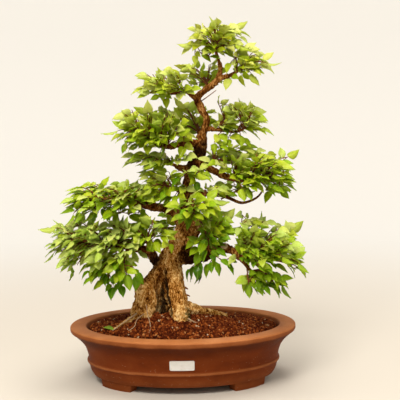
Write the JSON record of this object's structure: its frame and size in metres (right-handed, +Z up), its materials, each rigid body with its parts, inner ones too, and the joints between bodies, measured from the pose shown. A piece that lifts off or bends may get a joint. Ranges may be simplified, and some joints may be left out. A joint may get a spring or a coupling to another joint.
{
  "type": "korean hornbeam bonsai",
  "caption": "Korean hornbeam bonsai with a winding trunk on buttress roots and flat pads of small pointed leaves, in an oval unglazed clay pot on feet.",
  "frame": {"origin": "below the centre of the whole bounding box, on the plane that the pot's feet stand on", "axes": "+Z up, -Y towards the viewer who faces the tree's front, +X to that viewer's right, along the oval pot's length"},
  "size_m": [0.4046, 0.258, 0.5679],
  "materials": {
    "fired_clay": "matte",
    "akadama_grit": "matte",
    "bark": "matte",
    "leaf": "satin",
    "label_paper": "matte",
    "screen_plastic": "matte"
  },
  "bodies": {
    "root": {"drain_screen_left": "screen_plastic", "drain_screen_right": "screen_plastic", "fallen_leaf": "leaf", "label": "label_paper", "pot": "fired_clay", "soil": "akadama_grit", "spray_apex": "leaf", "spray_apex_right": "leaf", "spray_back_left": "leaf", "spray_back_low": "leaf", "spray_back_mid": "leaf", "spray_back_right": "leaf", "spray_back_top": "leaf", "spray_centre_left": "leaf", "spray_front_high": "leaf", "spray_front_mid": "leaf", "spray_left_hang": "leaf", "spray_left_inner": "leaf", "spray_left_low": "leaf", "spray_left_up": "leaf", "spray_mid_left": "leaf", "spray_mid_left_low": "leaf", "spray_right_hang": "leaf", "spray_right_inner": "leaf", "spray_right_low": "leaf", "spray_right_mid": "leaf", "spray_right_small": "leaf", "spray_right_twig": "leaf", "spray_top_left": "leaf", "trunk": "bark"}
  },
  "joints": []
}
